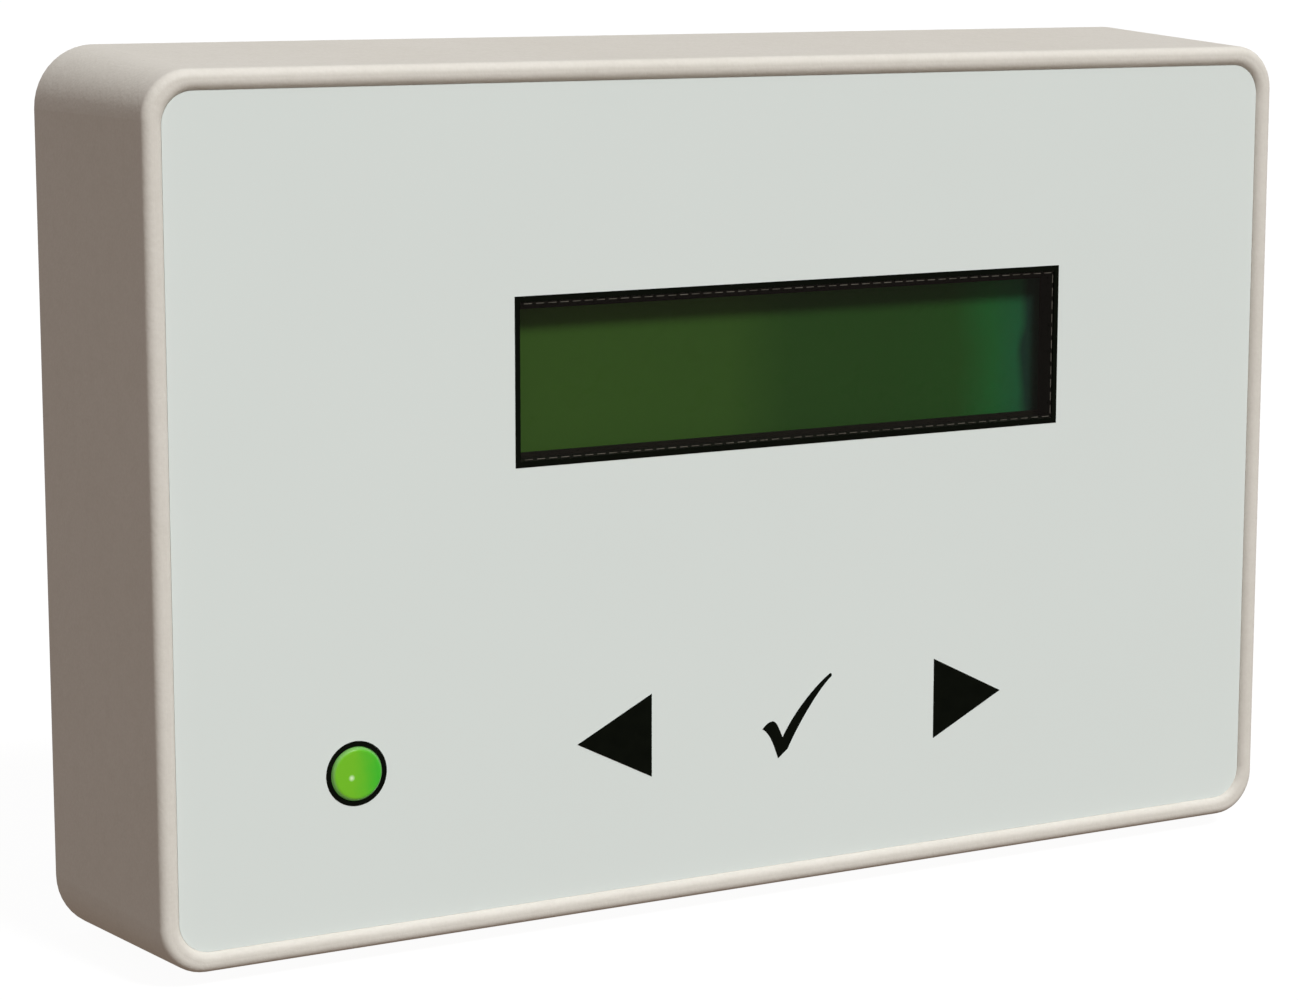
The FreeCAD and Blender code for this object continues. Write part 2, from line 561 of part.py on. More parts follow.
def coin_cell_holder():
    """Plastic cup for the coin cell, with a notch to push the cell out."""
    body = new_body("coin_cell_holder")
    floor = f"{BOARD_BACK} - holder_floor"
    rim = f"{BOARD_BACK} - holder_height"
    add(body, rim, BOARD_BACK, [("circle", "cell_across", "cell_up", "holder_radius")])
    cut(body, floor, rim, [("circle", "cell_across", "cell_up", "coin_radius + holder_gap")])
    cut(body, floor, rim, [("rectangle", "cell_across", "cell_up - holder_notch_drop", "holder_notch",
                            "holder_notch")])


def coin_cell():
    """Twenty millimetre lithium cell that keeps the clock running."""
    front = f"{BOARD_BACK} - holder_floor"
    add(new_body("coin_cell"), f"{front} - coin_thickness", front,
        [("circle", "cell_across", "cell_up", "coin_radius")])


def terminal_columns():
    """Distances across of the terminal block's ways."""
    ways = range(int(value("terminal_ways")))
    return [f"({way} - (terminal_ways - 1) / 2) * terminal_pitch" for way in ways]


def terminal_block():
    """Block with, for each way, a screw well and a wire mouth that faces down."""
    body = new_body("terminal_block")
    rear = f"{BOARD_BACK} - terminal_height"
    add(body, rear, BOARD_BACK, [("rectangle", "0", "terminal_up", "terminal_ways * terminal_pitch",
                                  "terminal_depth")])
    cut(body, f"{rear} + terminal_well", rear,
        [("circle", across, "terminal_well_up", "terminal_well_radius") for across in terminal_columns()])
    low = "terminal_up - terminal_depth / 2"
    cut_down(body, f"{low} + terminal_mouth_deep", low,
             [("rectangle", across, f"-({BOARD_BACK}) + terminal_mouth_rise", "terminal_mouth",
               "terminal_mouth") for across in terminal_columns()])


def terminal_screws():
    """Slotted clamp screws at the bottoms of the wells."""
    body = new_body("terminal_screws")
    front = f"{BOARD_BACK} - terminal_height + terminal_well"
    head = f"{front} - terminal_screw"
    add(body, head, front,
        [("circle", across, "terminal_well_up", "terminal_screw_radius") for across in terminal_columns()])
    cut(body, f"{head} + terminal_slot_deep", head, [("rectangle", across, "terminal_well_up",
        "terminal_well_radius * 1.5", "terminal_slot") for across in terminal_columns()])


# ---------------------------------------------------------------- badge reader coil

def coil_ring(grow):
    """Width, height and corner radius of the coil's inner outline, grown by the given amount."""
    inner_x = f"coil_width - 2 * coil_winding + 2 * ({grow})"
    inner_z = f"coil_height - 2 * coil_winding + 2 * ({grow})"
    return ("rounded", "coil_across", "coil_up", inner_x, inner_z, f"coil_radius - coil_winding + {grow}")


def antenna_bobbin():
    """Former for the coil: a flat rim and a low inner wall."""
    body = new_body("antenna_bobbin")
    rim_front = f"{INNER_FACE} - bobbin_gap"
    wall_back = f"{COIL_FRONT} - coil_thickness - bobbin_lip"
    add(body, COIL_FRONT, rim_front, [coil_ring("coil_winding + bobbin_lip")])
    add(body, wall_back, COIL_FRONT, [coil_ring("-winding_gap")])
    cut(body, rim_front, wall_back, [coil_ring("-bobbin_wall")])


def antenna_coil():
    """Enamelled copper winding."""
    body = new_body("antenna_coil")
    back = f"{COIL_FRONT} - coil_thickness"
    add(body, back, COIL_FRONT, [coil_ring("coil_winding")])
    cut(body, COIL_FRONT, back, [coil_ring("0")])


def antenna_pin_spots(shape, *sizes):
    """The two pins, under the lower run of the bobbin."""
    up = "coil_up - coil_height / 2 + coil_winding / 2"
    return [(shape, f"coil_across + ({sign}) * coil_pin_spread", up, *sizes) for sign in SIGNS]


def antenna_pins():
    """Pins that carry the coil's two ends to the board."""
    add(new_body("antenna_pins"), f"{BOARD_BACK} - coil_pin_end", f"{COIL_FRONT} - coil_thickness",
        antenna_pin_spots("circle", "coil_pin_radius"))


# ---------------------------------------------------------------- screws

SCREW_CROSS = (("screw_slot", "screw_cross"), ("screw_cross", "screw_slot"))


def board_screws(name, seat, spots):
    """Pan-head screws, heads towards the wall, with a cross recess."""
    body = new_body(name)
    top = f"{seat} - screw_head"
    add(body, top, seat, spots("screw_head_radius"))
    top_depth = value(top)
    round_edges(body, "screw_head_round", lambda edge: lies_at_depth(edge, top_depth))
    add(body, seat, f"{seat} + screw_bite", spots("screw_radius"))
    centres = [spot[1:3] for spot in spots("screw_radius")]
    for width, height in SCREW_CROSS:
        crosses = [("rectangle", *centre, width, height) for centre in centres]
        cut(body, f"{top} + screw_cross_deep", top, crosses)


def locking_screws():
    """Two screws up through the underside into the wall plate's tabs."""
    body = new_body("locking_screws")
    spot = ("lock_across", "-lock_depth")
    top = "lock_seat - screw_head"
    add_up(body, top, "lock_seat", pair("circle", *spot, "screw_head_radius"))
    top_height = value(top)
    round_edges(body, "screw_head_round", lambda edge: abs(edge.BoundBox.ZMax - top_height) < 0.01)
    add_up(body, "lock_seat", "lock_tab_top - lock_tip_gap", pair("circle", *spot, "screw_radius"))
    for width, height in SCREW_CROSS:
        cut_down(body, f"{top} + screw_cross_deep", top, pair("rectangle", *spot, width, height))


# ---------------------------------------------------------------- wall plate

def wall_plate():
    """Base on the wall: two hooks at the top, two screw tabs at the bottom, holes and cable entry."""
    body = new_body("wall_plate")
    inset = f"2 * {DRAFT_OFFSET} - 2 * side_wall - 2 * plate_gap"
    add(body, "0", "plate_thickness", [("rounded", "0", "0", f"case_width + {inset}",
        f"case_height + {inset}", f"corner_radius + {DRAFT_OFFSET} - side_wall - plate_gap")])
    wall_holes = ("circle", "wall_hole_pitch / 2", "0")
    cut(body, "plate_thickness", "0", pair(*wall_holes, "wall_hole_radius") +
        [("rounded", "0", "entry_up", "entry_width", "entry_height", "entry_radius")])
    cut(body, "plate_thickness", "plate_thickness - wall_hole_recess",
        pair(*wall_holes, "wall_hole_recess_radius"))
    hook_arm = ("rectangle", "hook_across", "hook_base + hook_arm / 2", "hook_width", "hook_arm")
    hook_tip = ("rectangle", "hook_across", "hook_base + hook_tip / 2", "hook_width", "hook_tip")
    add(body, "plate_thickness", "hook_reach", pair(*hook_arm))
    add(body, "catch_front + hook_gap", "hook_reach", pair(*hook_tip))
    tab_height = "(lock_tab_top - lock_tab_bottom)"
    tab_up = f"lock_tab_bottom + {tab_height} / 2"
    add(body, "plate_thickness", "plate_thickness + lock_tab_side",
        pair("rectangle", "lock_across", tab_up, "lock_tab_side", tab_height))
    cut_down(body, "lock_tab_top", "lock_tab_bottom",
             pair("circle", "lock_across", "-lock_depth", "pilot_radius"))


def cable_grommet():
    """Rubber lip round the cable entry."""
    body = new_body("cable_grommet")
    front = "plate_thickness + grommet_flange"

    def lip(grow):
        return [("rounded", "0", "entry_up", f"entry_width + 2 * ({grow})", f"entry_height + 2 * ({grow})",
                 f"entry_radius + {grow}")]

    add(body, "0", "plate_thickness", lip("-grommet_gap"))
    add(body, "plate_thickness", front, lip("grommet_lip"))
    cut(body, front, "0", lip("-grommet_wall"))


def build():
    front_case()
    graphic_overlay()
    display_window()
    status_lens()
    for name, across in KEYS.items():
        key_film(name, across)
        key_plunger(name, across)
        key_switch(name, across)
        key_stem(name, across)
    for piece in (lcd_bezel, lcd_glass, lcd_light_guide, lcd_rubber_connectors, lcd_board,
                  lcd_driver_domes, lcd_header_strip, lcd_header_pins, main_board, chips, crystal,
                  regulator, smoothing_capacitors, chip_resistors, status_light, buzzer,
                  coin_cell_holder, coin_cell, terminal_block, terminal_screws, antenna_bobbin,
                  antenna_coil, antenna_pins, locking_screws, wall_plate, cable_grommet):
        piece()
    board_screws("main_board_screws", BOARD_BACK, board_corners)
    board_screws("lcd_screws", MODULE_BACK, module_corners)
    doc.recompute()


def check_features():
    """Stop if a feature failed, or a pad or pocket changed nothing."""
    for item in doc.Objects:
        if "Invalid" in item.State or "Error" in item.State:
            raise RuntimeError(f"{item.Name} failed: {item.State}")
        base = getattr(item, "BaseFeature", None)
        if item.TypeId in ("PartDesign::Pad", "PartDesign::Pocket") and base:
            change = item.Shape.Volume - base.Shape.Volume
            if (change > 0) != (item.TypeId == "PartDesign::Pad") or abs(change) < 1e-6:
                raise RuntimeError(f"{item.Name} changed the volume by {change}")


def export_pieces():
    for body in doc.findObjects("PartDesign::Body"):
        if body.Shape.isNull() or not body.Shape.isValid():
            raise RuntimeError(f"{body.Label} has no valid shape")
        body.Shape.exportStep(f"parts/{body.Label}.step")


build()
check_features()
export_pieces()
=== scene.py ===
"""The looks of a wall-mounted attendance clock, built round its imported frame. Lengths are metres."""

import json
import math

import bmesh
import bpy
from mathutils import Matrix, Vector
from mathutils.geometry import interpolate_bezier, tessellate_polygon


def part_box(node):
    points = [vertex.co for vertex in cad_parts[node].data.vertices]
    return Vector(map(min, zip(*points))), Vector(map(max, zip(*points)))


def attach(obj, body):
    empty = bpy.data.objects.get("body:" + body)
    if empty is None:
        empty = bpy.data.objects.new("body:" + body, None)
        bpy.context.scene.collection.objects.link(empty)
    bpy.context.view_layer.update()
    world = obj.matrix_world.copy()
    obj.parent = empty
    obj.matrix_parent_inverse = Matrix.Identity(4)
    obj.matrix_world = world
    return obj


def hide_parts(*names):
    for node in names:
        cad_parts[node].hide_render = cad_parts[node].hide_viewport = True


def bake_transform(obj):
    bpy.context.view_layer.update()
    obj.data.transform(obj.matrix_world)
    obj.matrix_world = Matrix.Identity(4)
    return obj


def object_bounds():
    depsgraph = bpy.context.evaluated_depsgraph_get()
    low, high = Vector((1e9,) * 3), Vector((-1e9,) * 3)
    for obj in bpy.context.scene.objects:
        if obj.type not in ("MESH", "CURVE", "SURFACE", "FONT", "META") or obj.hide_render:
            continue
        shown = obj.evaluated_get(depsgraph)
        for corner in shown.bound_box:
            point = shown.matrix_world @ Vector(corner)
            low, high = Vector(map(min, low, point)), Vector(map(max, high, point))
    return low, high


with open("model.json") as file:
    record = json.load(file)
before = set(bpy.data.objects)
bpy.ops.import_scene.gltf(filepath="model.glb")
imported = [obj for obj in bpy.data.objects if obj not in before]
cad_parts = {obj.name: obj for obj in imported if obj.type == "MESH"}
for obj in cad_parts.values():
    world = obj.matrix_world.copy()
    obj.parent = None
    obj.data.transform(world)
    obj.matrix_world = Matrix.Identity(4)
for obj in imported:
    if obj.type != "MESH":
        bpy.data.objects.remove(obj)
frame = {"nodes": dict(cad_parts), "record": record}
CAD_LOW, CAD_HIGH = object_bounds()
NODES = frame["nodes"]
RECORD = frame["record"]

MM = 0.001
KEYS = ("left", "ok", "right")
CIRCLE_STEPS = 96
CORNER_STEPS = 12
SHARP = math.radians(30)

# The camera, and the light that comes from the front, above and a little to the right.
CAMERA_POINT = Vector((-0.18341, -0.32586, 0.05600))
VIEW_AZIMUTH = math.radians(-29.548)
VIEW_ELEVATION = math.radians(9.359)
LENS = 96.303
SENSOR = 36.0
KEY_LIGHT_AZIMUTH = math.radians(13)
KEY_LIGHT_ELEVATION = math.radians(45)
KEY_LIGHT_SPREAD = math.radians(12)
KEY_LIGHT_POWER = 2.47

# The label, its window and its print.
LABEL_LOW, LABEL_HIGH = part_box("graphic_overlay")
LABEL_FRONT = LABEL_LOW.y
LABEL_BACK = LABEL_HIGH.y
LABEL_CORNER = 3.0 * MM
WINDOW_LOW, WINDOW_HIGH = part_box("display_window")
WINDOW_GAP = 0.02 * MM
FRAME_BORDER = 0.57 * MM
INK = 0.02 * MM
LABEL_FLARE = 0.19 * MM
LABEL_SPREAD = 0.08 * MM
SLEEVE = 0.01 * MM
FILM_LINE_INSET = 0.20 * MM
FILM_LINE = 0.07 * MM
FILM_LINE_DASH = 0.9 * MM
FILM_LINE_PITCH = 1.5
FILM_LINE_START = 0.2
BEZEL_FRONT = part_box("lcd_bezel")[0].y
LIGHT_LOW, LIGHT_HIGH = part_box("status_lens")
LIGHT_CENTRE = (LIGHT_LOW + LIGHT_HIGH) / 2
LIGHT_HOLE = 2.72 * MM
LIGHT_RING = 3.25 * MM

# Round each key, a ring of label sectors lies between the disc and the case.
FLEX_OUTER = 7.6 * MM
FLEX_SECTORS = 24
FLEX_RINGS = 8

FLOOR_RADIUS = 12.0
FLOOR_GAP = 0.1 * MM


def paint(red, green, blue):
    """A shader colour from the three 0 to 255 values that a colour picker shows."""
    def linear(value):
        share = value / 255
        return share / 12.92 if share <= 0.04045 else ((share + 0.055) / 1.055) ** 2.4
    return (linear(red), linear(green), linear(blue), 1.0)


# ---------------------------------------------------------------- node trees


def add(tree, kind, inputs, **settings):
    """Adds a node. An input is given a value, or another node's output to be linked to."""
    node = tree.nodes.new("ShaderNode" + kind)
    for name, value in settings.items():
        setattr(node, name, value)
    for name, value in inputs.items():
        if isinstance(value, bpy.types.NodeSocket):
            tree.links.new(value, node.inputs[name])
        else:
            node.inputs[name].default_value = value
    return node


def noise(tree, coordinates, size, detail=2.0):
    """Noise whose lumps are about size across, from 0 to 1."""
    inputs = {"Vector": coordinates, "Scale": 1 / size, "Detail": detail}
    return add(tree, "TexNoise", inputs).outputs["Fac"]


def spread(tree, value, low, high, start=0.3, end=0.7):
    """value, with start to end stretched to low to high."""
    inputs = {"Value": value, "From Min": start, "From Max": end, "To Min": low, "To Max": high}
    return add(tree, "MapRange", inputs).outputs["Result"]


def blend_colours(tree, share, first, second):
    """The first colour where share is 0, the second where it is 1."""
    inputs = {0: share, 6: first, 7: second}
    return add(tree, "Mix", inputs, data_type="RGBA").outputs[2]


def calculate(tree, operation, first, second=0.0):
    """The output of one arithmetic step."""
    return add(tree, "Math", {0: first, 1: second}, operation=operation).outputs[0]


def new_tree(name):
    """A new material, its emptied tree and the piece's own coordinates, in metres."""
    material = bpy.data.materials.new(name)
    material.use_nodes = True
    tree = material.node_tree
    tree.nodes.clear()
    coordinates = add(tree, "TexCoord", {}).outputs["Object"]
    return material, tree, coordinates


def close_tree(tree, inputs):
    """Ends the tree with a Principled shader that has these inputs."""
    shader = add(tree, "BsdfPrincipled", inputs)
    add(tree, "OutputMaterial", {"Surface": shader.outputs[0]})


def relief(tree, height, depth, strength=1.0):
    """A normal for a surface that rises by depth where height is 1."""
    inputs = {"Height": height, "Distance": depth, "Strength": strength}
    return add(tree, "Bump", inputs).outputs["Normal"]


def moulded(name, light, dark, patch, rough, grain, depth, stretch=(1, 1, 1), **sockets):
    """A finish whose shade drifts over patches and whose gloss and relief have a fine grain."""
    material, tree, coordinates = new_tree(name)
    inputs = {"Vector": coordinates, "Scale": stretch}
    stretched = add(tree, "Mapping", inputs).outputs[0]
    drift = spread(tree, noise(tree, coordinates, patch, 4.0), 0.0, 1.0)
    fine = noise(tree, stretched, grain, 3.0)
    surface = {
        "Base Color": blend_colours(tree, drift, light, dark),
        "Roughness": spread(tree, fine, rough - 0.06, rough + 0.06),
        "Normal": relief(tree, fine, depth),
    }
    for socket, value in sockets.items():
        surface[socket.replace("_", " ")] = value
    close_tree(tree, surface)
    return material


# ---------------------------------------------------------------- finishes


def case_abs():
    """Warm off-white ABS with a spark-eroded texture, a few dark specks and duller, dustier hollows."""
    material, tree, coordinates = new_tree("case_abs")
    drift = spread(tree, noise(tree, coordinates, 22 * MM, 3.0), 0.0, 1.0)
    shade = blend_colours(tree, drift, paint(234, 229, 221), paint(231, 226, 217))
    grain = noise(tree, coordinates, 0.36 * MM, 2.0)
    mottle = noise(tree, coordinates, 1.6 * MM, 3.0)
    shade = blend_colours(tree, spread(tree, grain, 0.0, 0.10), shade, paint(190, 182, 172))
    worn = spread(tree, mottle, 0.0, 0.08, 0.45, 0.8)
    shade = blend_colours(tree, worn, shade, paint(186, 178, 166))
    speck = spread(tree, noise(tree, coordinates, 0.9 * MM, 1.0), 0.0, 0.22, 0.80, 0.86)
    shade = blend_colours(tree, speck, shade, paint(120, 112, 100))
    height = calculate(tree, "ADD", grain, calculate(tree, "MULTIPLY", mottle, 1.5))
    close_tree(tree, {
        "Base Color": shade,
        "Roughness": spread(tree, grain, 0.46, 0.60),
        "Specular IOR Level": 0.2,
        "Normal": relief(tree, height, 0.028 * MM, 0.9),
    })
    return material


def label_film():
    """Matt screen-printed polyester: pale grey-green, very even, with a fine velvet grain."""
    return moulded("label_film", paint(235, 242, 239), paint(234, 241, 238), 30 * MM, 0.55, 0.22 * MM,
                   0.0015 * MM, Specular_IOR_Level=0.20)


def black_ink():
    """Near-black screen ink with a slightly uneven film."""
    return moulded("black_ink", paint(14, 17, 11), paint(10, 13, 8), 1.2 * MM, 0.6, 0.12 * MM, 0.002 * MM,
                   Specular_IOR_Level=0.03)


def window_film():
    """Clear hard-coated film: light passes, and a faint reflection lies on its outer sides."""
    material, tree, coordinates = new_tree("window_film")
    haze = spread(tree, noise(tree, coordinates, 5 * MM, 3.0), 0.10, 0.16)
    normal = relief(tree, noise(tree, coordinates, 9 * MM, 1.0), 0.004 * MM)
    clear = add(tree, "BsdfTransparent", {"Color": (0.93, 0.95, 0.93, 1.0)})
    shine = add(tree, "BsdfAnisotropic", {"Color": (1.0, 1.0, 1.0, 1.0), "Roughness": haze, "Normal": normal})
    gloss = add(tree, "Fresnel", {"IOR": 1.38, "Normal": normal}).outputs[0]
    outside = calculate(tree, "SUBTRACT", 1.0, add(tree, "NewGeometry", {}).outputs["Backfacing"])
    share = calculate(tree, "MULTIPLY", gloss, outside)
    mixed = add(tree, "MixShader", {0: share, 1: clear.outputs[0], 2: shine.outputs[0]})
    add(tree, "OutputMaterial", {"Surface": mixed.outputs[0]})
    return material


def display_cell():
    """The blank cell: olive green, turning teal near its right end and then blue-black at the very end, a
    painted shadow of the window's edge, with faint dots.
    """
    material, tree, coordinates = new_tree("display_cell")
    split = add(tree, "SeparateXYZ", {"Vector": coordinates})
    wander = calculate(tree, "MULTIPLY", noise(tree, coordinates, 9 * MM, 2.0), 3 * MM)
    along = calculate(tree, "ADD", split.outputs["X"], wander)
    share = spread(tree, along, 0.0, 1.0, WINDOW_LOW.x, WINDOW_HIGH.x)
    ramp = add(tree, "ValToRGB", {"Fac": share})
    # The last stop darkens the very right end to blue-black: painted shadow of the window's right edge.
    stops = [
        (0.00, paint(64, 95, 37)), (0.42, paint(60, 92, 37)), (0.54, paint(46, 79, 33)),
        (0.72, paint(43, 78, 32)), (0.86, paint(41, 81, 33)), (0.93, paint(36, 100, 50)),
        (0.985, paint(36, 98, 64)), (1.0, paint(28, 56, 48)),
    ]
    elements = ramp.color_ramp.elements
    for element, (position, colour) in zip((elements[0], elements[1]), (stops[0], stops[-1])):
        element.position = position
        element.color = colour
    for position, colour in stops[1:-1]:
        elements.new(position).color = colour
    blotch = spread(tree, noise(tree, coordinates, 0.7 * MM, 2.0), 0.0, 0.10)
    colour = blend_colours(tree, blotch, ramp.outputs["Color"], paint(50, 70, 30))
    close_tree(tree, {
        "Base Color": colour,
        "Roughness": spread(tree, noise(tree, coordinates, 3 * MM), 0.25, 0.38),
        "Specular IOR Level": 0.04,
        "Normal": relief(tree, noise(tree, coordinates, 0.6 * MM), 0.0005 * MM),
    })
    return material


def green_lens():
    """Frosted green plastic, yellower in the middle, with a painted pale highlight round its edge, a small
    painted highlight below and left of its middle, and a faint painted glow.
    """
    material, tree, coordinates = new_tree("green_lens")
    inputs = {"Vector": coordinates, "Location": (-LIGHT_CENTRE.x, 0, -LIGHT_CENTRE.z), "Scale": (1, 0, 1)}
    centred = add(tree, "Mapping", inputs).outputs[0]
    radius = add(tree, "VectorMath", {0: centred}, operation="LENGTH").outputs["Value"]
    side = add(tree, "SeparateXYZ", {"Vector": centred}).outputs["X"]
    cloud = calculate(tree, "MULTIPLY", noise(tree, coordinates, 1.3 * MM, 2.0), 1.2 * MM)
    across = calculate(tree, "ADD", side, cloud)
    colour = blend_colours(tree, spread(tree, across, 0.0, 1.0, 0.1 * MM, 2.6 * MM),
                           paint(112, 184, 40), paint(66, 180, 44))
    # Painted highlight: the paler ring at the lens's edge stands in for light caught by that edge.
    painted_edge_highlight = spread(tree, radius, 0.0, 0.75, 2.38 * MM, 2.60 * MM)
    colour = blend_colours(tree, painted_edge_highlight, colour, paint(122, 172, 104))
    # Painted highlight: a small pale spot below and left of the lens's middle stands in for a reflected
    # light.
    inputs = {"Vector": centred, "Location": (0.70 * MM, 0, 0.30 * MM)}
    from_painted_highlight = add(tree, "Mapping", inputs).outputs[0]
    distance = add(tree, "VectorMath", {0: from_painted_highlight}, operation="LENGTH").outputs["Value"]
    painted_highlight = spread(tree, distance, 0.85, 0.0, 0.06 * MM, 0.36 * MM)
    colour = blend_colours(tree, painted_highlight, colour, paint(222, 246, 200))
    close_tree(tree, {
        "Base Color": colour,
        "Roughness": spread(tree, noise(tree, coordinates, 0.5 * MM), 0.30, 0.42),
        "Specular IOR Level": 0.2,
        # The emission is a painted glow: it lifts the whole lens, its shaded edge too.
        "Emission Color": colour,
        "Emission Strength": 0.22,
        "Subsurface Weight": 0.15,
        "Subsurface Radius": (0.4, 1.0, 0.3),
        "Subsurface Scale": 0.6 * MM,
        "Normal": relief(tree, noise(tree, coordinates, 0.3 * MM), 0.002 * MM),
    })
    return material


def board_green():
    """Green solder mask over copper: paler tracks run both ways."""
    material, tree, coordinates = new_tree("board_green")
    split = add(tree, "SeparateXYZ", {"Vector": coordinates})
    pitch = 1.27 * MM
    masks = []
    for along, across in (("X", "Z"), ("Z", "X")):
        row = calculate(tree, "DIVIDE", split.outputs[across], pitch)
        near = calculate(tree, "ABSOLUTE", calculate(tree, "SUBTRACT", calculate(tree, "FRACT", row), 0.5))
        line = calculate(tree, "LESS_THAN", near, 0.13)
        cell = add(tree, "CombineXYZ", {
            "X": calculate(tree, "FLOOR", row),
            "Y": calculate(tree, "FLOOR", calculate(tree, "DIVIDE", split.outputs[along], 11 * pitch))})
        present = add(tree, "TexWhiteNoise", {"Vector": cell.outputs[0]}).outputs["Value"]
        masks.append(calculate(tree, "MULTIPLY", line, calculate(tree, "GREATER_THAN", present, 0.62)))
    track = calculate(tree, "MAXIMUM", *masks)
    weave = noise(tree, coordinates, 0.5 * MM)
    mask = blend_colours(tree, spread(tree, weave, 0.0, 1.0), paint(20, 84, 46), paint(16, 74, 40))
    colour = blend_colours(tree, calculate(tree, "MULTIPLY", track, 0.6), mask, paint(58, 132, 66))
    height = calculate(tree, "ADD", track, calculate(tree, "MULTIPLY", weave, 0.2))
    close_tree(tree, {
        "Base Color": colour,
        "Roughness": spread(tree, weave, 0.28, 0.40),
        "Coat Weight": 0.3,
        "Coat Roughness": 0.15,
        "Normal": relief(tree, height, 0.03 * MM),
    })
    return material


def striped(name, axis, pitch, light, dark, rough, depth, **sockets):
    """A finish of fine ridges at a pitch along one axis, as on a winding or a striped rubber."""
    material, tree, coordinates = new_tree(name)
    split = add(tree, "SeparateXYZ", {"Vector": coordinates})
    turns = calculate(tree, "MULTIPLY", split.outputs[axis], 2 * math.pi / pitch)
    ridge = spread(tree, calculate(tree, "SINE", turns), 0.0, 1.0, -1.0, 1.0)
    uneven = noise(tree, coordinates, 2 * pitch)
    surface = {
        "Base Color": blend_colours(tree, ridge, dark, light),
        "Roughness": spread(tree, uneven, rough - 0.05, rough + 0.08),
        "Normal": relief(tree, ridge, depth),
    }
    for socket, value in sockets.items():
        surface[socket.replace("_", " ")] = value
    close_tree(tree, surface)
    return material


def capacitor_can():
    """A bright can whose sleeve is dark except at the bare front end."""
    material, tree, coordinates = new_tree("aluminium_can")
    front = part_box("smoothing_capacitors")[0].y
    depth = add(tree, "SeparateXYZ", {"Vector": coordinates}).outputs["Y"]
    sleeve = spread(tree, depth, 0.0, 1.0, front + 0.32 * MM, front + 0.36 * MM)
    scuffs = noise(tree, coordinates, 0.4 * MM, 3.0)
    bare = blend_colours(tree, scuffs, paint(226, 227, 228), paint(188, 190, 192))
    wrap = blend_colours(tree, scuffs, paint(28, 30, 40), paint(40, 42, 54))
    close_tree(tree, {
        "Base Color": blend_colours(tree, sleeve, bare, wrap),
        "Metallic": calculate(tree, "SUBTRACT", 1.0, sleeve),
        "Roughness": spread(tree, scuffs, 0.26, 0.42),
        "Normal": relief(tree, scuffs, 0.004 * MM),
    })
    return material


def metal(name, light, dark, rough, stretch):
    """Plated metal with fine scratches drawn out along one axis."""
    return moulded(name, light, dark, 3 * MM, rough, 0.25 * MM, 0.003 * MM, stretch, Metallic=1.0)


def clear_acrylic():
    """Clear acrylic with pale scattering dots."""
    material, tree, coordinates = new_tree("clear_acrylic")
    dots = add(tree, "TexVoronoi", {"Vector": coordinates, "Scale": 1 / (1.1 * MM)}).outputs["Distance"]
    bright = spread(tree, dots, 1.0, 0.0)
    close_tree(tree, {
        "Base Color": blend_colours(tree, bright, paint(226, 232, 222), paint(250, 250, 246)),
        "Roughness": spread(tree, dots, 0.35, 0.12),
        "Transmission Weight": 0.6,
        "IOR": 1.49,
        "Normal": relief(tree, dots, 0.02 * MM),
    })
    return material


def make_finishes():
    """{slot: material} for every slot in the record, with the ink beside them."""
    white, grey = paint(226, 226, 223), paint(214, 213, 208)
    soot, coal = paint(34, 34, 35), paint(22, 22, 23)
    steel, iron = paint(222, 223, 224), paint(182, 184, 186)
    return {
        "case_abs": case_abs(),
        "label_film": label_film(),
        "window_film": window_film(),
        "green_lens": green_lens(),
        "black_steel": moulded("black_steel", paint(24, 22, 16), paint(17, 16, 12), 2 * MM, 0.5, 0.15 * MM,
                               0.003 * MM, Specular_IOR_Level=0.05),
        "display_cell": display_cell(),
        "clear_acrylic": clear_acrylic(),
        "zebra_rubber": striped("zebra_rubber", "X", 0.18 * MM, paint(176, 172, 166), coal, 0.7, 0.01 * MM),
        "board_green": board_green(),
        "black_resin": moulded("black_resin", soot, coal, 1.5 * MM, 0.5, 0.10 * MM, 0.004 * MM),
        "black_plastic": moulded("black_plastic", soot, coal, 3 * MM, 0.45, 0.20 * MM, 0.004 * MM),
        "gold_pins": metal("gold_pins", paint(232, 196, 110), paint(206, 168, 84), 0.25, (4, 0.5, 4)),
        "zinc_screws": metal("zinc_screws", steel, paint(190, 196, 202), 0.28, (1, 3, 3)),
        "nickel_can": metal("nickel_can", steel, iron, 0.25, (0.4, 3, 3)),
        "aluminium_can": capacitor_can(),
        "resistor_ceramic": moulded("resistor_ceramic", soot, coal, 0.6 * MM, 0.3, 0.08 * MM, 0.003 * MM),
        "cell_steel": metal("cell_steel", steel, iron, 0.22, (3, 1, 0.3)),
        "terminal_green": moulded("terminal_green", paint(44, 134, 74), paint(36, 120, 64), 3 * MM, 0.4,
                                  0.2 * MM, 0.004 * MM),
        "copper_wire": striped("copper_wire", "Y", 0.25 * MM, paint(196, 112, 62), paint(104, 48, 24), 0.25,
                               0.05 * MM, Metallic=1.0, Coat_Weight=0.4),
        "plate_abs": moulded("plate_abs", paint(208, 203, 194), paint(202, 196, 186), 14 * MM, 0.55,
                             0.4 * MM, 0.010 * MM),
        "black_rubber": moulded("black_rubber", paint(42, 41, 40), paint(30, 29, 29), 2.5 * MM, 0.72,
                                0.3 * MM, 0.012 * MM, Specular_IOR_Level=0.3),
        "plunger_abs": moulded("plunger_abs", white, grey, 4 * MM, 0.4, 0.3 * MM, 0.004 * MM),
        "stem_plastic": moulded("stem_plastic", soot, coal, 2 * MM, 0.4, 0.2 * MM, 0.003 * MM),
        "black_ink": black_ink(),
        # The film line's pale grey is partly a painted glint of the film's cut edge.
        "film_line": moulded("film_line", paint(118, 114, 106), paint(76, 73, 66), 1.5 * MM, 0.5, 0.1 * MM,
                             0.001 * MM, Specular_IOR_Level=0.1),
    }


# ---------------------------------------------------------------- meshes


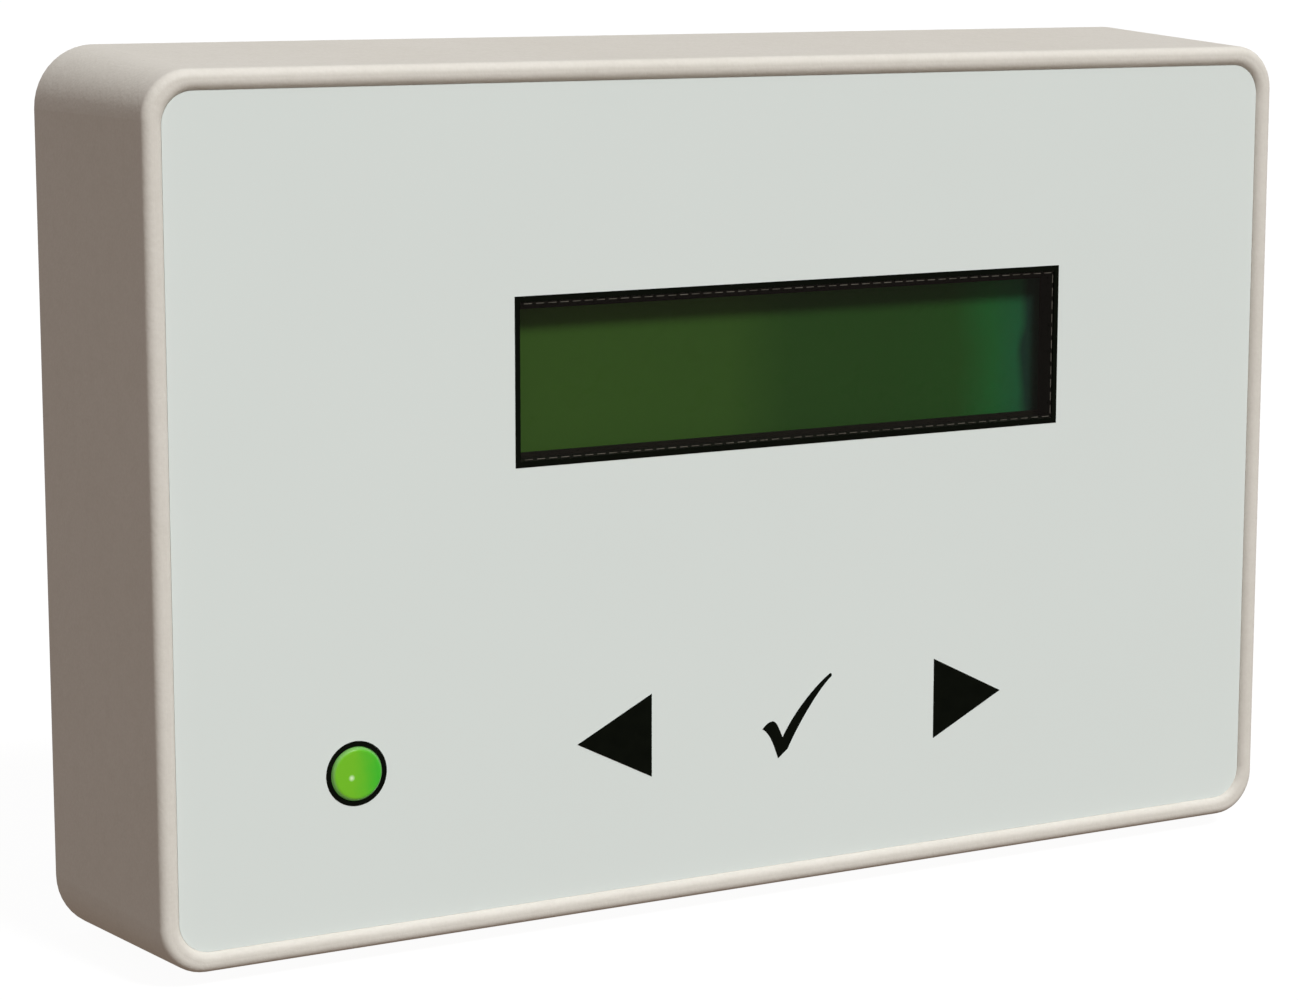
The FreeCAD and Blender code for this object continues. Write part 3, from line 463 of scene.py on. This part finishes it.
def rectangle(low, high, radius=0.0):
    """A function that gives a rectangle's outline in X and Z, grown by a margin, with round corners."""
    def outline(grow):
        round_by = max(radius + grow, 0.0) if radius else 0.0
        inner = radius if radius else -grow
        points = []
        for turn, (x, z) in enumerate((
                (high.x - inner, high.z - inner), (low.x + inner, high.z - inner),
                (low.x + inner, low.z + inner), (high.x - inner, low.z + inner))):
            steps = CORNER_STEPS if radius else 0
            for step in range(steps + 1):
                angle = math.pi / 2 * (turn + (step / steps if steps else 0.5))
                points.append((x + round_by * math.cos(angle), z + round_by * math.sin(angle)))
        return points
    return outline


def circle(centre, radius):
    """A function that gives a circle's outline in X and Z, grown by a margin."""
    def outline(grow):
        turns = [2 * math.pi * step / CIRCLE_STEPS for step in range(CIRCLE_STEPS)]
        return [(centre.x + (radius + grow) * math.cos(turn), centre.z + (radius + grow) * math.sin(turn))
                for turn in turns]
    return outline


def fixed(points):
    """An outline that doesn't grow."""
    return lambda grow: points


def finish_piece(name, mesh, material):
    """Makes the object from a bmesh, smooth except at its sharp edges."""
    bmesh.ops.recalc_face_normals(mesh, faces=mesh.faces)
    for face in mesh.faces:
        face.smooth = True
    for edge in mesh.edges:
        edge.smooth = len(edge.link_faces) == 2 and edge.calc_face_angle(math.pi) < SHARP
    data = bpy.data.meshes.new(name)
    mesh.to_mesh(data)
    mesh.free()
    data.materials.append(material)
    piece = bpy.data.objects.new(name, data)
    bpy.context.scene.collection.objects.link(piece)
    return piece


def bridge(mesh, first, second):
    """Quads between two closed rings of as many vertices."""
    for index in range(len(first)):
        after = (index + 1) % len(first)
        mesh.faces.new((first[index], first[after], second[after], second[index]))


def cap(mesh, rings):
    """Flat triangles inside the first ring and outside the others."""
    vertices = [vertex for ring in rings for vertex in ring]
    flat = [[Vector((vertex.co.x, vertex.co.z, 0)) for vertex in ring] for ring in rings]
    for corners in tessellate_polygon(flat):
        mesh.faces.new([vertices[corner] for corner in corners])


def slab(name, outer, holes, front, back, material, flare=0.0, spread_back=0.0):
    """A flat sheet with holes, whose outline is grown by flare in front and by spread_back behind."""
    mesh = bmesh.new()
    fronts, backs = [], []
    for index, outline in enumerate([outer, *holes]):
        growth = ((front, 0.0), (back, 0.0)) if index else ((front, flare), (back, spread_back))
        first, last = ([mesh.verts.new((x, y, z)) for x, z in outline(grow)] for y, grow in growth)
        bridge(mesh, first, last)
        fronts.append(first)
        backs.append(last)
    cap(mesh, fronts)
    cap(mesh, backs)
    return finish_piece(name, mesh, material)


# ---------------------------------------------------------------- label and print


def key_centre(key):
    """The middle of the key's disc of label."""
    low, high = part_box(f"{key}_key_film")
    return (low + high) / 2


def key_radius(key):
    """The radius of the key's disc of label."""
    low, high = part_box(f"{key}_key_film")
    return (high.x - low.x) / 2


def window_opening(grow=0.0):
    """The corners of the label's window opening, grown by a margin."""
    margin = Vector((WINDOW_GAP + grow, 0, WINDOW_GAP + grow))
    return WINDOW_LOW - margin, WINDOW_HIGH + margin


def make_label(finishes):
    """The label, open for the window, the light and the three rings round the keys. It meets the case's bead.
    """
    openings = [rectangle(*window_opening()), circle(LIGHT_CENTRE, LIGHT_HOLE)]
    openings += [circle(key_centre(key), FLEX_OUTER) for key in KEYS]
    label = slab("label", rectangle(LABEL_LOW, LABEL_HIGH, LABEL_CORNER), openings, LABEL_FRONT, LABEL_BACK,
                 finishes["label_film"], LABEL_FLARE, LABEL_SPREAD)
    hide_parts("graphic_overlay")
    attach(label, "case")


def make_flex_sector(key, index, finishes):
    """One sector of the ring of label between the key's disc and the fixed label."""
    centre, inner = key_centre(key), key_radius(key)
    steps = CIRCLE_STEPS // FLEX_SECTORS
    mesh = bmesh.new()
    grids = []
    for depth in (LABEL_FRONT, LABEL_BACK):
        grid = []
        for ring in range(FLEX_RINGS + 1):
            radius = inner + (FLEX_OUTER - inner) * ring / FLEX_RINGS
            turns = [2 * math.pi * (index * steps + step) / CIRCLE_STEPS for step in range(steps + 1)]
            grid.append([mesh.verts.new((centre.x + radius * math.cos(turn), depth,
                                         centre.z + radius * math.sin(turn))) for turn in turns])
        grids.append(grid)
        for ring in range(FLEX_RINGS):
            for step in range(steps):
                mesh.faces.new((grid[ring][step], grid[ring][step + 1],
                                grid[ring + 1][step + 1], grid[ring + 1][step]))
    front, back = (grid[0] + [row[-1] for row in grid[1:-1]] + grid[-1][::-1]
                   + [row[0] for row in grid[-2:0:-1]] for grid in grids)
    bridge(mesh, front, back)
    sector = finish_piece(f"{key}_key_flex_{index + 1:02}", mesh, finishes["label_film"])
    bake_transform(sector)


def make_key_face(key, finishes):
    """The disc of label that goes in with the key, and the ring of sectors round it."""
    disc = slab(f"{key}_key_face", circle(key_centre(key), key_radius(key)), [], LABEL_FRONT, LABEL_BACK,
                finishes["label_film"])
    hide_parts(f"{key}_key_film")
    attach(disc, f"{key}_key")
    for index in range(FLEX_SECTORS):
        make_flex_sector(key, index, finishes)


def ink_on(name, outer, holes, body, finishes):
    """A flat patch of black ink on the label."""
    patch = slab(name, outer, holes, LABEL_FRONT - INK, LABEL_FRONT, finishes["black_ink"])
    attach(patch, body)


def arrow_outline(centre, direction):
    """A triangle that points left (-1) or right (1)."""
    tip, base, half_height = 4.35 * MM, -4.30 * MM, 4.35 * MM
    corners = [(tip, 0.0), (base, half_height), (base, -half_height)]
    return fixed([(centre.x + direction * x, centre.z + z) for x, z in corners])


# The tick's outline: a point, and the two handles of the curve to the next one, in mm from its middle.
TICK = (
    ((-4.10, -0.92), (-3.65, -0.45), (-3.30, -0.22)),
    ((-2.90, -0.20), (-2.35, -0.18), (-2.05, -1.10)),
    ((-1.62, -2.05), (-0.20, 0.60), (2.50, 3.15)),
    ((4.20, 4.18), (4.35, 4.25), (4.52, 4.00)),
    ((4.35, 3.82), (2.85, 2.75), (0.20, -1.00)),
    ((-1.00, -3.35), (-1.39, -3.65), (-1.78, -3.95)),
    ((-2.17, -4.25), (-2.70, -2.60), (-3.30, -1.30)),
)


def tick_outline(centre):
    """The tick: a short thick stroke, a point, and a long curved stroke that tapers."""
    points = []
    for index, (start, leaving, arriving) in enumerate(TICK):
        end = TICK[(index + 1) % len(TICK)][0]
        curve = interpolate_bezier(*(Vector((x, z, 0)) for x, z in (start, leaving, arriving, end)), 16)
        points += [(centre.x + point.x * MM, centre.z + point.y * MM) for point in curve[:-1]]
    return fixed(points)


def make_film_line(finishes):
    """The fine broken line that the window film's edge shows, just inside the frame. Its pale grey is partly
    a painted glint of that edge.
    """
    low, high = window_opening(-FILM_LINE_INSET)
    mesh = bmesh.new()
    corner = Vector((high.x, low.z))
    runs = [(Vector((low.x, low.z)), corner), (Vector((low.x, high.z)), Vector((high.x, high.z))),
            (corner, Vector((high.x, high.z)))]
    for start, end in runs:
        along = (end - start).normalized()
        across = Vector((-along.y, along.x)) * FILM_LINE / 2
        dashes = int((end - start).length / (FILM_LINE_PITCH * FILM_LINE_DASH))
        for index in range(dashes):
            near = start + (end - start) * (index + FILM_LINE_START) / dashes
            corners = [near - across, near + along * FILM_LINE_DASH - across,
                       near + along * FILM_LINE_DASH + across, near + across]
            rings = [[mesh.verts.new((x, depth, z)) for x, z in corners]
                     for depth in (WINDOW_LOW.y - INK, WINDOW_LOW.y)]
            bridge(mesh, *rings)
            for ring in rings:
                mesh.faces.new(ring)
    line = finish_piece("window_film_line", mesh, finishes["film_line"])
    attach(line, "case")


def make_print(finishes):
    """The window's frame and light-tight sleeve, the ring round the light and the three symbols."""
    opening = rectangle(*window_opening())
    ink_on("window_frame_print", rectangle(*window_opening(FRAME_BORDER)), [opening], "case", finishes)
    inside = rectangle(*window_opening(-SLEEVE))
    sleeve = slab("window_sleeve", opening, [inside], LABEL_FRONT - INK, BEZEL_FRONT, finishes["black_ink"])
    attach(sleeve, "case")
    light_hole = circle(LIGHT_CENTRE, LIGHT_HOLE)
    ink_on("light_ring_print", circle(LIGHT_CENTRE, LIGHT_RING), [light_hole], "case", finishes)
    ink_on("left_arrow_print", arrow_outline(key_centre("left"), -1), [], "left_key", finishes)
    ink_on("ok_tick_print", tick_outline(key_centre("ok")), [], "ok_key", finishes)
    ink_on("right_arrow_print", arrow_outline(key_centre("right"), 1), [], "right_key", finishes)


# ---------------------------------------------------------------- studio


def direction(azimuth, elevation):
    """The unit vector from the object towards that azimuth and elevation."""
    level = math.cos(elevation)
    return Vector((math.sin(azimuth) * level, -math.cos(azimuth) * level, math.sin(elevation)))


def aim(piece, towards):
    """Turns a camera or light to look along towards, without roll."""
    piece.rotation_mode = "QUATERNION"
    piece.rotation_quaternion = towards.to_track_quat("-Z", "Y")


def make_camera():
    """The camera, to the left of the front and a little above it."""
    camera = bpy.data.objects.new("camera", bpy.data.cameras.new("camera"))
    bpy.context.scene.collection.objects.link(camera)
    camera.data.lens = LENS
    camera.data.sensor_width = SENSOR
    camera.data.clip_start = 0.01
    camera.location = CAMERA_POINT
    aim(camera, -direction(VIEW_AZIMUTH, VIEW_ELEVATION))
    bpy.context.scene.camera = camera


def make_key_light():
    """The main light, soft at its edges."""
    lamp = bpy.data.lights.new("key_light", "SUN")
    lamp.energy = KEY_LIGHT_POWER
    lamp.angle = KEY_LIGHT_SPREAD
    lamp.color = (0.965, 1.0, 1.0)
    light = bpy.data.objects.new("key_light", lamp)
    bpy.context.scene.collection.objects.link(light)
    aim(light, -direction(KEY_LIGHT_AZIMUTH, KEY_LIGHT_ELEVATION))


def make_world():
    """Soft light from all round, warmer from below, in front of a white surround."""
    world = bpy.data.worlds.new("studio")
    bpy.context.scene.world = world
    world.use_nodes = True
    tree = world.node_tree
    tree.nodes.clear()
    towards = add(tree, "TexCoord", {}).outputs["Generated"]
    rise = add(tree, "SeparateXYZ", {"Vector": towards}).outputs["Z"]
    above = spread(tree, rise, 0.0, 1.0, -0.5, 0.6)
    colour = blend_colours(tree, above, (0.195, 0.150, 0.120, 1.0), (0.325, 0.305, 0.300, 1.0))
    fill = add(tree, "Background", {"Color": colour, "Strength": 1.0})
    surround = add(tree, "Background", {"Color": (1.0, 1.0, 1.0, 1.0), "Strength": 1.0})
    seen = add(tree, "LightPath", {}).outputs["Is Camera Ray"]
    mixed = add(tree, "MixShader", {0: seen, 1: fill.outputs[0], 2: surround.outputs[0]})
    add(tree, "OutputWorld", {"Surface": mixed.outputs[0]})


def make_floor():
    """A wide white floor just under the case. The world's fill stands in for the light it would throw."""
    material = bpy.data.materials.new("floor_white")
    material.use_nodes = True
    tree = material.node_tree
    tree.nodes.clear()
    close_tree(tree, {
        "Base Color": (0.10, 0.10, 0.10, 1.0), "Roughness": 0.9, "Specular IOR Level": 0.0,
        "Emission Color": (1.0, 1.0, 1.0, 1.0), "Emission Strength": 0.95})
    mesh = bmesh.new()
    bmesh.ops.create_circle(mesh, cap_ends=True, segments=64, radius=FLOOR_RADIUS)
    data = bpy.data.meshes.new("floor")
    mesh.to_mesh(data)
    mesh.free()
    data.materials.append(material)
    floor = bpy.data.objects.new("floor", data)
    floor.location.z = CAD_LOW.z - FLOOR_GAP
    floor.visible_diffuse = False
    floor.visible_glossy = False
    floor.visible_shadow = False
    bpy.context.scene.collection.objects.link(floor)


# ---------------------------------------------------------------- the whole


def dress_frame(finishes):
    """Gives every CAD node the finish of its slot."""
    for part in RECORD["subparts"]:
        slots = NODES[part["node"]].data.materials
        slots.clear()
        slots.append(finishes[part["material_slot"]])


make_camera()
make_key_light()
make_world()
make_floor()
bpy.context.scene.view_settings.view_transform = "Standard"
finishes = make_finishes()
dress_frame(finishes)
make_label(finishes)
for key in KEYS:
    make_key_face(key, finishes)
make_print(finishes)
make_film_line(finishes)
